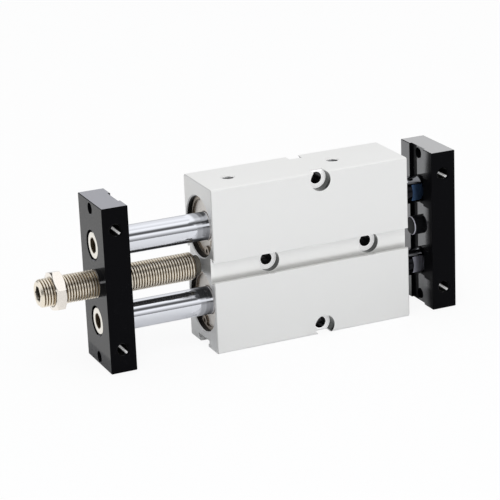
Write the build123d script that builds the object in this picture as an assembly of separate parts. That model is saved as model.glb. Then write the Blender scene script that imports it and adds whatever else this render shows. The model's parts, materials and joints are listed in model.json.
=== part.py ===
from build123d import *
import os
from math import cos, radians, sin

# Guided air cylinder: a flat barrel with two parallel bores, a through rod in each, and a
# plate across the rods at either end. A threaded stop bolt in the front plate sets the stroke.
# X runs along the rods from the front plate to the rear plate, and Z is up. The origin is the
# middle of the barrel's mounting holes, halfway through the barrel.

# Barrel, a drawn aluminium profile
barrel_length = 76.0
bore_diameter = 20.0
web_thickness = 7.5            # between the two bores
side_wall = 1.0                # beside the cover seats, at the thinnest place
end_wall = 6.25                # above the upper bore and below the lower one
profile_edge_radius = 0.8
barrel_end_chamfer = 0.3
pattern_from_front = 41.75     # front end of the barrel to the middle of the mounting holes

# Undercut slots for position sensors, along both large faces and the lower edge
slot_mouth_width = 7.5
slot_floor_width = 9.4
slot_lip = 1.3
slot_depth = 2.8

# Mounting holes through the barrel, with a screw-head recess at both ends
mount_hole_diameter = 4.3
mount_recess_diameter = 7.7
column_recess_depth = 4.0
row_recess_depth = 5.6         # deeper, so that the screw heads leave the slots free
row_hole_spacing = 39.0
column_hole_from_bore = 3.25   # hole centre above the top of the upper bore

# Air ports in the upper face and the passage that links the two bores
port_diameter = 4.2
port_depth = 4.6
port_mouth_chamfer = 0.5
passage_diameter = 2.5
front_port_from_end = 11.8
rear_port_from_end = 23.7

# Ends of the bores
seat_step = 1.0                # the cover seat is this much wider than the bore, all round
seat_depth = 6.0
seat_mouth_chamfer = 0.35
ring_inset = 1.65              # end face of the barrel to the retaining ring
ring_groove_depth = 0.4
ring_groove_play = 0.1

# Rod covers
front_cover_length = 7.25
rear_cover_length = 18.75
cover_fit = 0.03               # all round, in the bore and in the seat
cover_lip = 0.7                # outer wall of the cover, in front of the bush
cover_lip_clearance = 0.2      # round the rod
cover_ring_groove_depth = 1.15
cover_ring_groove_width = 1.7
cover_edge_chamfer = 0.3

# Retaining rings
ring_thickness = 1.0
ring_width = 1.75
ring_lug_radius = 1.9
ring_lug_hole_diameter = 1.6
ring_gap_angle = 8.0           # half the gap between the lugs
ring_fit = 0.05
ring_turn = {"upper": -34.0, "lower": 39.0}  # place of the gap, counted from the bottom

# Guide bushes, rod seals and static sealing rings
bush_wall = 1.25
bush_running_fit = 0.03
rod_seal_wall = 2.4
rod_seal_length = 2.4
rod_seal_running_fit = 0.05
seal_lip_thickness = 0.7
seal_lip_depth = 1.2
static_fit = 0.03              # between a still piece and its seat

# Rods
rod_diameter = 10.0
rod_end_chamfer = 0.4
rod_thread_depth = 16.0
rod_flat_spacing = 8.0         # across the two wrench flats at the rear end
rod_flat_length = 4.2          # in front of the rear plate

# Pistons
piston_land = 1.6              # metal left between two grooves
piston_clearance = 0.2         # all round, in the bore
piston_front_gap = 1.65        # piston to front cover with the carriage fully out
piston_bore_fit = 0.03
piston_edge_chamfer = 0.4
piston_seal_inset = 2.0
piston_seal_width = 2.8
piston_seal_groove_depth = 2.7
piston_seal_running_fit = 0.05
guide_band_width = 3.6
guide_band_thickness = 1.2
magnet_width = 4.0
magnet_groove_depth = 3.0
magnet_inset = 0.3
piston_ring_width = 1.7
piston_ring_groove_depth = 1.15

# Clips that hold the pistons on the rods
clip_thickness = 1.0
clip_groove_depth = 0.25
clip_width = 2.3
clip_gap_angle = 35.0          # half the opening of the clip
clip_play = 0.05

# End plates
plate_thickness = 9.5
plate_side_inset = 0.5         # the plates are this much smaller than the barrel, all round
plate_end_inset = 0.3
plate_edge_chamfer = 0.2
front_gap = 30.0               # front plate to barrel, as stored
rear_gap = 10.0                # rear plate to barrel, as stored
rod_groove_depth = 1.0
rod_groove_clearance = 0.05
face_hole_diameter = 4.2
face_hole_from_end = 2.7
side_hole_diameter = 4.2
side_hole_depth = 8.0
side_hole_from_end = 8.2
side_hole_mouth_chamfer = 0.5

# Socket-head screws that hold the plates to the rods
screw_diameter = 6.0
screw_length = 16.0
screw_head_diameter = 10.0
screw_head_height = 6.0
screw_head_chamfer = 0.4
screw_socket_size = 5.0
screw_socket_depth = 3.0
screw_recess_clearance = 0.5
screw_recess_extra_depth = 0.3
screw_hole_clearance = 0.2
screw_thread_fit = 0.03

# Stop bolt, its pad and its lock nut
bolt_diameter = 9.86
bolt_length = 57.0
bolt_end_chamfer = 0.8
bolt_socket_size = 5.0
bolt_socket_depth = 6.0
bolt_running_fit = 0.06
pad_diameter = 7.0
pad_thickness = 2.1
pad_edge_radius = 0.5
pad_stem_diameter = 4.0
pad_stem_length = 4.5
pad_fit = 0.05
stop_gap = 1.0                 # pad to barrel, as stored
nut_size = 13.0
nut_thickness = 3.7
nut_from_bolt_end = 4.6
nut_turn = 17.3
nut_chamfer_angle = 30.0
nut_mouth_chamfer = 0.5

# Rubber bumper on the rear plate
bumper_diameter = 7.0
bumper_height = 2.7            # above the inner face of the plate
bumper_edge_radius = 0.6
bumper_stem_diameter = 5.0
bumper_stem_length = 5.0
bumper_fit = 0.03

# Places and sizes that follow
bore_radius = bore_diameter / 2
seat_radius = bore_radius + seat_step
bore_pitch = bore_diameter + web_thickness
barrel_width = 2 * (seat_radius + side_wall)
barrel_height = bore_pitch + bore_diameter + 2 * end_wall
front_end = -pattern_from_front
rear_end = front_end + barrel_length
cover_inset = ring_inset + ring_thickness
column_hole_height = bore_pitch / 2 + bore_radius + column_hole_from_bore
rod_radius = rod_diameter / 2
plate_width = barrel_width - 2 * plate_side_inset
plate_height = barrel_height - 2 * plate_end_inset
front_plate_inner = front_end - front_gap
front_plate_outer = front_plate_inner - plate_thickness
rear_plate_inner = rear_end + rear_gap
rear_plate_outer = rear_plate_inner + plate_thickness
rod_front = front_plate_inner - rod_groove_depth
rod_rear = rear_plate_inner + rod_groove_depth
screw_recess_depth = screw_head_height + screw_recess_extra_depth
front_chamber_end = front_end + cover_inset + front_cover_length
piston_front = front_chamber_end + piston_front_gap + rear_gap - bumper_height
front_seal = piston_front + piston_seal_inset
guide_band = front_seal + piston_seal_width + piston_land
magnet_place = guide_band + guide_band_width + piston_land
rear_seal = magnet_place + magnet_width + piston_land
piston_rear = rear_seal + piston_seal_width + piston_seal_inset
bolt_tip = front_end - stop_gap - pad_thickness
bolt_head = bolt_tip - bolt_length
bolt_radius = bolt_diameter / 2
levels = {"upper": bore_pitch / 2, "lower": -bore_pitch / 2}


def x_cylinder(radius, x_from, x_to, y=0.0, z=0.0):
    """Round bar along X."""
    plane = Plane(origin=(x_from, y, z), x_dir=(0, 1, 0), z_dir=(1, 0, 0))
    return extrude(plane * Circle(radius), amount=x_to - x_from)


def y_cylinder(radius, y_from, y_to, x, z):
    """Round bar along Y."""
    plane = Plane(origin=(x, y_from, z), x_dir=(1, 0, 0), z_dir=(0, 1, 0))
    return extrude(plane * Circle(radius), amount=y_to - y_from)


def z_cylinder(radius, z_from, z_to, x, y=0.0):
    """Round bar along Z."""
    plane = Plane(origin=(x, y, z_from), x_dir=(1, 0, 0), z_dir=(0, 0, 1))
    return extrude(plane * Circle(radius), amount=z_to - z_from)


def x_prism(sketch, x_from, x_to, z=0.0):
    """Flat outline, drawn with Y to the right and Z up, drawn out along X."""
    plane = Plane(origin=(x_from, 0, z), x_dir=(0, 1, 0), z_dir=(1, 0, 0))
    return extrude(plane * sketch, amount=x_to - x_from)


def turned(points, z=0.0):
    """Turned piece about a line along X at height z; each point is (x, radius)."""
    outline = Polyline(*[(x, 0, radius) for x, radius in points], close=True)
    return Pos(0, 0, z) * revolve(make_face(outline), Axis.X, 360)


def tube(inner, outer, x_from, x_to, z=0.0):
    """Plain ring about a line along X at height z."""
    return turned([(x_from, inner), (x_from, outer), (x_to, outer), (x_to, inner)], z)


def mouth(radius, chamfer, x, inward, z=0.0):
    """Cone that chamfers the mouth of a hole along X; inward is +1 or -1 into the metal."""
    edge = radius + chamfer
    return turned([(x - inward * chamfer, 0), (x - inward * chamfer, edge + chamfer),
                   (x + inward * chamfer, radius), (x + inward * chamfer, 0)], z)


def slot_outline():
    """Section of a sensor slot in the surface at 0: its mouth, and the wider room inside."""
    room = slot_depth - slot_lip
    outline = Rectangle(slot_mouth_width, 2 * slot_depth)
    return outline + Pos(0, -slot_lip - room / 2) * Rectangle(slot_floor_width, room)


def drawn_profile():
    """Length of the drawn profile, its ends chamfered, with sensor slots in three sides."""
    outline = Rectangle(barrel_width, barrel_height)
    outline = fillet(outline.vertices(), profile_edge_radius)
    body = x_prism(outline, front_end, rear_end)
    faces = body.faces().sort_by(Axis.X)
    body = chamfer(faces[0].edges() + faces[-1].edges(), barrel_end_chamfer)
    for turn, reach in ((90, barrel_width / 2), (-90, barrel_width / 2), (180, barrel_height / 2)):
        slot = Rot(0, 0, turn) * Pos(0, reach) * slot_outline()
        body -= x_prism(slot, front_end, rear_end)
    return body


def bore_cut(z):
    """One bore with a cover seat, a ring groove and a chamfered mouth at both ends."""
    cut = x_cylinder(bore_radius, front_end, rear_end, z=z)
    groove_width = ring_thickness + ring_groove_play
    for end, inward in ((front_end, 1), (rear_end, -1)):
        groove_from = end + inward * (ring_inset - ring_groove_play / 2)
        groove_to = groove_from + inward * groove_width
        cut += x_cylinder(seat_radius, min(end, end + inward * seat_depth),
                          max(end, end + inward * seat_depth), z=z)
        cut += x_cylinder(seat_radius + ring_groove_depth, min(groove_from, groove_to),
                          max(groove_from, groove_to), z=z)
        cut += mouth(seat_radius, seat_mouth_chamfer, end, inward, z)
    return cut


def mount_cut(x, z, recess_depth):
    """Through hole across the barrel with a screw-head recess at both ends."""
    half = barrel_width / 2
    cut = y_cylinder(mount_hole_diameter / 2, -half, half, x, z)
    for face, floor in ((-half, recess_depth - half), (half, half - recess_depth)):
        cut += y_cylinder(mount_recess_diameter / 2, min(face, floor), max(face, floor), x, z)
    return cut


def port_cut(x):
    """Threaded port in the upper face; its passage goes on through the web to the lower bore."""
    top = barrel_height / 2
    cut = z_cylinder(port_diameter / 2, top - port_depth, top, x)
    cone = Cone(port_diameter / 2, port_diameter / 2 + port_mouth_chamfer, port_mouth_chamfer)
    cut += Pos(x, 0, top - port_mouth_chamfer / 2) * cone
    cut += z_cylinder(passage_diameter / 2, -bore_pitch / 2, top, x)
    return cut


def barrel():
    body = drawn_profile()
    for z in levels.values():
        body -= bore_cut(z)
    for side in (-1, 1):
        body -= mount_cut(side * row_hole_spacing / 2, 0, row_recess_depth)
        body -= mount_cut(0, side * column_hole_height, column_recess_depth)
    body -= port_cut(front_end + front_port_from_end)
    body -= port_cut(rear_end - rear_port_from_end)
    return body


def cover_parts(end, inward, length, z):
    """Rod cover with the bush, rod seal and sealing ring that it carries.

    Depths are counted from the end face of the barrel, and inward is the sign of X that
    leads into the bore. The flange fills the wide seat and the nose fills the bore.
    """
    outer_depth = cover_inset
    inner_depth = cover_inset + length
    lip_depth = outer_depth + cover_lip
    seal_from = inner_depth - rod_seal_length
    bush_radius = rod_radius + bush_wall
    seal_radius = rod_radius + rod_seal_wall
    nose = bore_radius - cover_fit
    flange = seat_radius - cover_fit
    groove_middle = (seat_depth + inner_depth) / 2
    groove_from = groove_middle - cover_ring_groove_width / 2
    groove_to = groove_middle + cover_ring_groove_width / 2
    groove_floor = bore_radius - cover_ring_groove_depth

    def at(points):
        return [(end + inward * depth, radius) for depth, radius in points]

    cover = turned(at([
        (outer_depth, rod_radius + cover_lip_clearance),
        (outer_depth, flange - cover_edge_chamfer),
        (outer_depth + cover_edge_chamfer, flange),
        (seat_depth, flange),
        (seat_depth, nose),
        (groove_from, nose),
        (groove_from, groove_floor),
        (groove_to, groove_floor),
        (groove_to, nose),
        (inner_depth, nose),
        (inner_depth, seal_radius),
        (seal_from, seal_radius),
        (seal_from, bush_radius),
        (lip_depth, bush_radius),
        (lip_depth, rod_radius + cover_lip_clearance),
    ]), z)
    bush = turned(at([
        (lip_depth, rod_radius + bush_running_fit),
        (lip_depth, bush_radius - static_fit),
        (seal_from, bush_radius - static_fit),
        (seal_from, rod_radius + bush_running_fit),
    ]), z)
    seal = lip_seal(end + inward * seal_from, inward, rod_seal_length,
                    rod_radius + rod_seal_running_fit, seal_radius - static_fit, z)
    ring = tube(groove_floor + static_fit, bore_radius - static_fit,
                end + inward * (groove_from + static_fit),
                end + inward * (groove_to - static_fit), z)
    return cover, bush, seal, ring


def lip_seal(x, outward, length, inner, outer, z):
    """Ring of U section whose open side looks along outward, towards the pressure."""
    root = x + outward * (length - seal_lip_depth)
    tip = x + outward * length
    lip = seal_lip_thickness
    return turned([(x, inner), (x, outer), (tip, outer), (tip, outer - lip),
                   (root, outer - lip), (root, inner + lip), (tip, inner + lip),
                   (tip, inner)], z)


def retaining_ring(end, inward, turn, z):
    """Inner snap ring with two eyed lugs; turn moves the gap between them from the bottom."""
    outer = seat_radius + ring_groove_depth - ring_fit
    inner = outer - ring_width
    lug_centre = inner - ring_lug_radius / 3
    lug_angle = ring_gap_angle + 57.3 * ring_lug_radius / lug_centre
    reach = 2 * outer
    slope = radians(ring_gap_angle)
    wedge = make_face(Polyline((0, 0), (reach * sin(slope), -reach * cos(slope)),
                               (-reach * sin(slope), -reach * cos(slope)), close=True))
    sketch = Circle(outer) - Circle(inner)
    eyes = []
    for side in (-1, 1):
        angle = radians(-90 + side * lug_angle)
        place = Pos(lug_centre * cos(angle), lug_centre * sin(angle))
        sketch += place * Circle(ring_lug_radius)
        eyes.append(place * Circle(ring_lug_hole_diameter / 2))
    sketch -= wedge
    for eye in eyes:
        sketch -= eye
    sketch = Rot(0, 0, turn) * sketch
    faces = (end + inward * ring_inset, end + inward * (ring_inset + ring_thickness))
    return x_prism(sketch, min(faces), max(faces), z)


def rod(z):
    """Through rod, threaded inside at both ends, with clip grooves and two wrench flats."""
    groove_width = clip_thickness + clip_play
    body = x_cylinder(rod_radius, rod_front, rod_rear, z=z)
    ends = body.edges().filter_by(GeomType.CIRCLE).group_by(Axis.X)
    body = chamfer(ends[0] + ends[-1], rod_end_chamfer)
    for face, outward in ((piston_front, -1), (piston_rear, 1)):
        edge = face + outward * groove_width
        body -= tube(rod_radius - clip_groove_depth, rod_diameter,
                     min(face, edge), max(face, edge), z)
    flat_middle = rear_plate_inner - rod_flat_length / 2
    for side in (-1, 1):
        place = Pos(flat_middle, side * (rod_flat_spacing + rod_diameter) / 2, z)
        body -= place * Box(rod_flat_length, rod_diameter, rod_diameter)
    thread = screw_diameter / 2 + screw_thread_fit
    body -= x_cylinder(thread, rod_front, rod_front + rod_thread_depth, z=z)
    body -= x_cylinder(thread, rod_rear - rod_thread_depth, rod_rear, z=z)
    return body


def piston_parts(z):
    """Piston with its two seals, guide band, magnet and the sealing ring on the rod."""
    radius = bore_radius - piston_clearance
    inner = rod_radius + piston_bore_fit
    seal_floor = radius - piston_seal_groove_depth
    band_floor = radius - guide_band_thickness
    magnet_floor = radius - magnet_groove_depth
    middle = (piston_front + piston_rear) / 2
    ring_floor = inner + piston_ring_groove_depth
    band_end = guide_band + guide_band_width
    magnet_end = magnet_place + magnet_width
    cut = 2 * radius

    piston = tube(inner, radius, piston_front, piston_rear, z)
    rims = piston.edges().filter_by(GeomType.CIRCLE).sort_by(SortBy.RADIUS)[-2:]
    piston = chamfer(rims, piston_edge_chamfer)
    for start in (front_seal, rear_seal):
        piston -= tube(seal_floor, cut, start, start + piston_seal_width, z)
    piston -= tube(band_floor, cut, guide_band, band_end, z)
    piston -= tube(magnet_floor, cut, magnet_place, magnet_end, z)
    ring_from = middle - piston_ring_width / 2
    ring_to = middle + piston_ring_width / 2
    piston -= tube(inner / 2, ring_floor, ring_from, ring_to, z)

    lip_radius = bore_radius - piston_seal_running_fit
    seals = [
        lip_seal(front_seal + piston_seal_width - static_fit, -1,
                 piston_seal_width - 2 * static_fit, seal_floor + static_fit, lip_radius, z),
        lip_seal(rear_seal + static_fit, 1,
                 piston_seal_width - 2 * static_fit, seal_floor + static_fit, lip_radius, z),
    ]
    band = tube(band_floor + static_fit, lip_radius, guide_band + static_fit,
                band_end - static_fit, z)
    magnet = tube(magnet_floor + static_fit, radius - magnet_inset, magnet_place + static_fit,
                  magnet_end - static_fit, z)
    ring = tube(rod_radius + static_fit, ring_floor - static_fit, ring_from + static_fit,
                ring_to - static_fit, z)
    return piston, seals, band, magnet, ring


def piston_clips(z):
    """Two open clips in the rod's grooves, one against each face of the piston."""
    inner = rod_radius - clip_groove_depth + static_fit
    outer = inner + clip_width
    reach = 2 * outer
    slope = radians(clip_gap_angle)
    opening = make_face(Polyline((0, 0), (reach * sin(slope), reach * cos(slope)),
                                 (-reach * sin(slope), reach * cos(slope)), close=True))
    sketch = Circle(outer) - Circle(inner) - opening
    return [x_prism(sketch, piston_front - clip_thickness, piston_front, z),
            x_prism(sketch, piston_rear, piston_rear + clip_thickness, z)]


def plate(inner, outward, middle_hole_radius, middle_hole_depth):
    """End plate: rod groove inside, screw recesses outside, threaded holes to carry a load.

    outward is the sign of X that leads from the inner face to the outer one.
    """
    outer = inner + outward * plate_thickness
    floor = inner + outward * rod_groove_depth
    low, high = min(inner, outer), max(inner, outer)
    body = x_prism(Rectangle(plate_width, plate_height), low, high)
    body = chamfer(body.edges(), plate_edge_chamfer)
    groove_width = rod_diameter + 2 * rod_groove_clearance
    body -= x_prism(Rectangle(groove_width, barrel_height), min(inner, floor), max(inner, floor))
    recess = outer - outward * screw_recess_depth
    for z in levels.values():
        body -= x_cylinder(screw_diameter / 2 + screw_hole_clearance, low, high, z=z)
        body -= x_cylinder(screw_head_diameter / 2 + screw_recess_clearance,
                           min(outer, recess), max(outer, recess), z=z)
    face_hole_height = plate_height / 2 - face_hole_from_end
    side_hole_height = plate_height / 2 - side_hole_from_end
    middle_x = (inner + outer) / 2
    half = plate_width / 2
    for side in (-1, 1):
        body -= x_cylinder(face_hole_diameter / 2, low, high, z=side * face_hole_height)
        for face in (-1, 1):
            bottom = face * (half - side_hole_depth)
            body -= y_cylinder(side_hole_diameter / 2, min(face * half, bottom),
                               max(face * half, bottom), middle_x, side * side_hole_height)
            cone = Cone(side_hole_diameter / 2, side_hole_diameter / 2 + side_hole_mouth_chamfer,
                        side_hole_mouth_chamfer)
            place = Pos(middle_x, face * (half - side_hole_mouth_chamfer / 2),
                        side * side_hole_height)
            body -= place * Rot(-90 * face, 0, 0) * cone
    bottom = inner + outward * middle_hole_depth
    body -= x_cylinder(middle_hole_radius, min(inner, bottom), max(inner, bottom))
    return body


def plate_screw(inner, outward, z):
    """Socket-head screw from the outer face of a plate into the end of a rod."""
    seat = inner + outward * (plate_thickness - screw_recess_depth)
    head_end = seat + outward * screw_head_height
    shank_end = seat - outward * screw_length
    radius = screw_head_diameter / 2
    body = turned([
        (shank_end, 0),
        (shank_end, screw_diameter / 2),
        (seat, screw_diameter / 2),
        (seat, radius),
        (head_end - outward * screw_head_chamfer, radius),
        (head_end, radius - screw_head_chamfer),
        (head_end, 0),
    ], z)
    socket_floor = head_end - outward * screw_socket_depth
    hexagon = RegularPolygon(screw_socket_size / 2, 6, major_radius=False)
    body -= x_prism(Rot(0, 0, 90) * hexagon, min(head_end, socket_floor),
                    max(head_end, socket_floor), z)
    return body


def stop_bolt():
    """Headless bolt with a hexagon socket outside and a hole for the pad's stem inside."""
    edge = bolt_radius - bolt_end_chamfer
    body = turned([
        (bolt_head, 0),
        (bolt_head, edge),
        (bolt_head + bolt_end_chamfer, bolt_radius),
        (bolt_tip - bolt_end_chamfer, bolt_radius),
        (bolt_tip, edge),
        (bolt_tip, 0),
    ])
    hexagon = RegularPolygon(bolt_socket_size / 2, 6, major_radius=False)
    body -= x_prism(Rot(0, 0, 90) * hexagon, bolt_head, bolt_head + bolt_socket_depth)
    stem_radius = pad_stem_diameter / 2 + pad_fit
    stem_end = bolt_tip - pad_stem_length
    body -= x_cylinder(stem_radius, stem_end, bolt_tip)
    return body


def button(face, outward, radius, height, edge_radius, stem_radius, stem_length):
    """Round rubber button with a rounded rim and a stem behind it."""
    head = x_cylinder(radius, min(face, face + outward * height),
                      max(face, face + outward * height))
    rim = head.edges().filter_by(GeomType.CIRCLE).sort_by(Axis.X)[-1 if outward > 0 else 0]
    head = fillet(rim, edge_radius)
    stem_end = face - outward * stem_length
    return head + x_cylinder(stem_radius, min(face, stem_end), max(face, stem_end))


def stop_pad():
    """Bumper at the tip of the stop bolt; its shoulder runs clear of the bolt."""
    shoulder = bolt_tip + pad_fit
    return button(shoulder, 1, pad_diameter / 2, pad_thickness - pad_fit, pad_edge_radius,
                  pad_stem_diameter / 2, pad_stem_length - pad_fit)


def rear_bumper():
    """Bumper that meets the rear end of the barrel when the carriage is fully out."""
    seat = rear_plate_inner + rod_groove_depth
    return button(seat, -1, bumper_diameter / 2, bumper_height + rod_groove_depth,
                  bumper_edge_radius, bumper_stem_diameter / 2, bumper_stem_length)


def lock_nut():
    """Thin hexagon nut, its corners turned off at both faces."""
    outer_face = bolt_head + nut_from_bolt_end
    inner_face = outer_face + nut_thickness
    hexagon = RegularPolygon(nut_size / 2, 6, major_radius=False)
    corner = nut_size / 2 / cos(radians(30))
    body = x_prism(Rot(0, 0, -nut_turn) * hexagon, outer_face, inner_face)
    drop = (corner - nut_size / 2) * sin(radians(nut_chamfer_angle)) / cos(radians(nut_chamfer_angle))
    body &= turned([
        (outer_face, 0),
        (outer_face, nut_size / 2),
        (outer_face + drop, corner),
        (inner_face - drop, corner),
        (inner_face, nut_size / 2),
        (inner_face, 0),
    ])
    hole = bolt_radius + bolt_running_fit
    body -= x_cylinder(hole, outer_face, inner_face)
    body -= mouth(hole, nut_mouth_chamfer, outer_face, 1)
    body -= mouth(hole, nut_mouth_chamfer, inner_face, -1)
    return body


def write(name, *solids):
    """One node: a single solid, or a group of separate ones."""
    shape = solids[0] if len(solids) == 1 else Compound(children=list(solids))
    export_step(shape, f"parts/{name}.step")


os.makedirs("parts", exist_ok=True)
write("barrel", barrel())
for end_name, end, inward, length in (("front", front_end, 1, front_cover_length),
                                      ("rear", rear_end, -1, rear_cover_length)):
    for level, z in levels.items():
        cover, bush, seal, ring = cover_parts(end, inward, length, z)
        write(f"{end_name}_cover_{level}", cover)
        write(f"{end_name}_bush_{level}", bush)
        write(f"{end_name}_rod_seal_{level}", seal)
        write(f"{end_name}_cover_seal_{level}", ring)
        write(f"{end_name}_retaining_ring_{level}", retaining_ring(end, inward, ring_turn[level], z))
for level, z in levels.items():
    piston, seals, band, magnet, ring = piston_parts(z)
    write(f"rod_{level}", rod(z))
    write(f"piston_{level}", piston)
    write(f"piston_seals_{level}", *seals)
    write(f"piston_guide_band_{level}", band)
    write(f"piston_magnet_{level}", magnet)
    write(f"piston_rod_seal_{level}", ring)
    write(f"piston_clips_{level}", *piston_clips(z))
    write(f"front_screw_{level}", plate_screw(front_plate_inner, -1, z))
    write(f"rear_screw_{level}", plate_screw(rear_plate_inner, 1, z))
write("front_plate", plate(front_plate_inner, -1, bolt_radius + bolt_running_fit, plate_thickness))
write("rear_plate", plate(rear_plate_inner, 1, bumper_stem_diameter / 2 + bumper_fit,
                          rod_groove_depth + bumper_stem_length))
write("rear_bumper", rear_bumper())
write("stop_pad", stop_pad())
write("stop_bolt", stop_bolt())
write("lock_nut", lock_nut())
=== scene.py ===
import json
import math

import bmesh
import bpy
import numpy as np
from mathutils import Matrix, Vector

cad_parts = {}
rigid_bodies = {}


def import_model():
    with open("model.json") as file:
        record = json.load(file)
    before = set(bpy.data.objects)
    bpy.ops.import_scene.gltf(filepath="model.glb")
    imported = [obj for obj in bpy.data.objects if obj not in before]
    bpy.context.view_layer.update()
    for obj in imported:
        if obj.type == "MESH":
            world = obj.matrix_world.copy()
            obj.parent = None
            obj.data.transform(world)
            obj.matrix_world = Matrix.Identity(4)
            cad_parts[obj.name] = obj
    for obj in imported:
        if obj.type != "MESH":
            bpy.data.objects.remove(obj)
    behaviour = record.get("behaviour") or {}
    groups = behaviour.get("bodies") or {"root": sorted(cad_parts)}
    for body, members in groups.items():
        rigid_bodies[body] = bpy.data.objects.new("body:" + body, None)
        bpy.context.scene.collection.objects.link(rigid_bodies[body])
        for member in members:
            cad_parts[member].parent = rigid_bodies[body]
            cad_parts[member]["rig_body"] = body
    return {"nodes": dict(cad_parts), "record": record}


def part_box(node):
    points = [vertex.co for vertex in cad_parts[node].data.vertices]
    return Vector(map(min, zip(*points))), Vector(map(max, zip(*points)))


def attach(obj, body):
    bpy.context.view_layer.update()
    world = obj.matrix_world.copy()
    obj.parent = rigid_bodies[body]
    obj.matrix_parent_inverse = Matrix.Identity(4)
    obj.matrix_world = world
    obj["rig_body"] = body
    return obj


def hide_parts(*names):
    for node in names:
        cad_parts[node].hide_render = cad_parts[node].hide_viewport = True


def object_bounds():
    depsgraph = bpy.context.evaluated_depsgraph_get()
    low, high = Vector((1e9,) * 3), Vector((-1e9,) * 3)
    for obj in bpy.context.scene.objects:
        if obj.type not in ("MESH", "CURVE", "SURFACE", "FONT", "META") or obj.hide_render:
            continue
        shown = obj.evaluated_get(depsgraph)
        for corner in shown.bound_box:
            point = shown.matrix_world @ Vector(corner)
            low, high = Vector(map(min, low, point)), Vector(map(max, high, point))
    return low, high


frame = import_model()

cad_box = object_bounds()

# Camera
# The cylinder stands on its narrow lower face and is seen from the front left and above,
# with a long lens. Place, direction and lens were solved from the corners in the photograph.
MM = 0.001
camera_place = Vector((-303.15, -642.56, 239.04)) * MM
camera_azimuth = math.radians(-23.58)
camera_elevation = math.radians(18.69)
camera_roll = math.radians(-2.386)
camera_lens = 150.93
camera_sensor = 36.0
camera_back = Vector((math.sin(camera_azimuth) * math.cos(camera_elevation),
                      -math.cos(camera_azimuth) * math.cos(camera_elevation),
                      math.sin(camera_elevation)))
camera_right = Vector((0, 0, 1)).cross(camera_back).normalized()
camera_up = camera_back.cross(camera_right)
turned_right = math.cos(camera_roll) * camera_right + math.sin(camera_roll) * camera_up
turned_up = math.cos(camera_roll) * camera_up - math.sin(camera_roll) * camera_right
camera_data = bpy.data.cameras.new("camera")
camera_data.lens = camera_lens
camera_data.sensor_width = camera_sensor
camera = bpy.data.objects.new("camera", camera_data)
bpy.context.scene.collection.objects.link(camera)
camera.matrix_world = (Matrix.Translation(camera_place)
                       @ Matrix((turned_right, turned_up, camera_back)).transposed().to_4x4())
bpy.context.scene.camera = camera
bpy.context.scene.view_settings.view_transform = "Standard"

# Floor
# A plain white table top. To the camera it is a clean white that still takes the soft shadow
# of the cylinder; bright metal mirrors it as far as its left and front edges.
floor_left = -0.5
floor_front = -0.42
floor_reach = 3.0
floor_height = cad_box[0].z
floor_white = (0.91, 0.92, 0.94)
floor_glow = 0.9
floor_even_left_of = -0.086
shade_front = 6 * MM
shade_side = 4.2 * MM
shade_low, shade_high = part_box("barrel")


def nodes_of(material):
    """Empty node tree of a new material, with its output node."""
    material.use_nodes = True
    tree = material.node_tree
    tree.nodes.clear()
    output = tree.nodes.new("ShaderNodeOutputMaterial")
    return tree, output


def worked(tree, operation, *values, clamp=False):
    """Math node on sockets or plain numbers; gives its output."""
    node = tree.nodes.new("ShaderNodeMath")
    node.operation = operation
    node.use_clamp = clamp
    for socket, value in zip(node.inputs, values):
        if isinstance(value, (int, float)):
            socket.default_value = value
        else:
            tree.links.new(value, socket)
    return node.outputs[0]


def times(tree, *factors):
    """Product of masks, or of masks and plain numbers."""
    product = factors[0]
    for factor in factors[1:]:
        product = worked(tree, "MULTIPLY", product, factor)
    return product


def opposite(tree, mask):
    """1 where the mask is 0, and 0 where it is 1."""
    return worked(tree, "SUBTRACT", 1.0, mask)


def within(tree, value, middle, half):
    """1 where the value is less than half away from the middle, else 0."""
    return worked(tree, "COMPARE", value, middle, half)


def object_place(tree):
    """Object coordinates, split into their x, y and z outputs."""
    place = tree.nodes.new("ShaderNodeTexCoord")
    split = tree.nodes.new("ShaderNodeSeparateXYZ")
    tree.links.new(place.outputs["Object"], split.inputs[0])
    return split.outputs


def floor_material():
    """Matt white, mixed with plain white light where the camera looks straight at it.

    The barrel's footprint stays unlit, and bright surfaces see the far left of the floor
    as an even white.
    """
    material = bpy.data.materials.new("white_table")
    tree, output = nodes_of(material)
    matt = tree.nodes.new("ShaderNodeBsdfDiffuse")
    matt.inputs["Color"].default_value = (*floor_white, 1)
    glow = tree.nodes.new("ShaderNodeEmission")
    glow.inputs["Color"].default_value = (1, 1, 1, 1)
    path = tree.nodes.new("ShaderNodeLightPath")
    mix = tree.nodes.new("ShaderNodeMixShader")
    x, y = object_place(tree)[:2]
    shade_from = shade_low.x + shade_front
    under = times(tree,
                  within(tree, x, (shade_from + shade_high.x) / 2, (shade_high.x - shade_from) / 2),
                  within(tree, y, 0.0, shade_high.y - shade_side))
    seen = times(tree, path.outputs["Is Camera Ray"], floor_glow, opposite(tree, under))
    left = times(tree, worked(tree, "LESS_THAN", x, floor_even_left_of), path.outputs["Is Glossy Ray"])
    tree.links.new(worked(tree, "ADD", seen, left, clamp=True), mix.inputs[0])
    tree.links.new(matt.outputs[0], mix.inputs[1])
    tree.links.new(glow.outputs[0], mix.inputs[2])
    tree.links.new(mix.outputs[0], output.inputs["Surface"])
    return material


floor_mesh = bpy.data.meshes.new("floor")
floor_mesh.from_pydata([(floor_left, floor_front, floor_height), (floor_reach, floor_front, floor_height),
                        (floor_reach, floor_reach, floor_height), (floor_left, floor_reach, floor_height)],
                       [], [(0, 1, 2, 3)])
floor = bpy.data.objects.new("floor", floor_mesh)
floor.data.materials.append(floor_material())
bpy.context.scene.collection.objects.link(floor)

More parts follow.
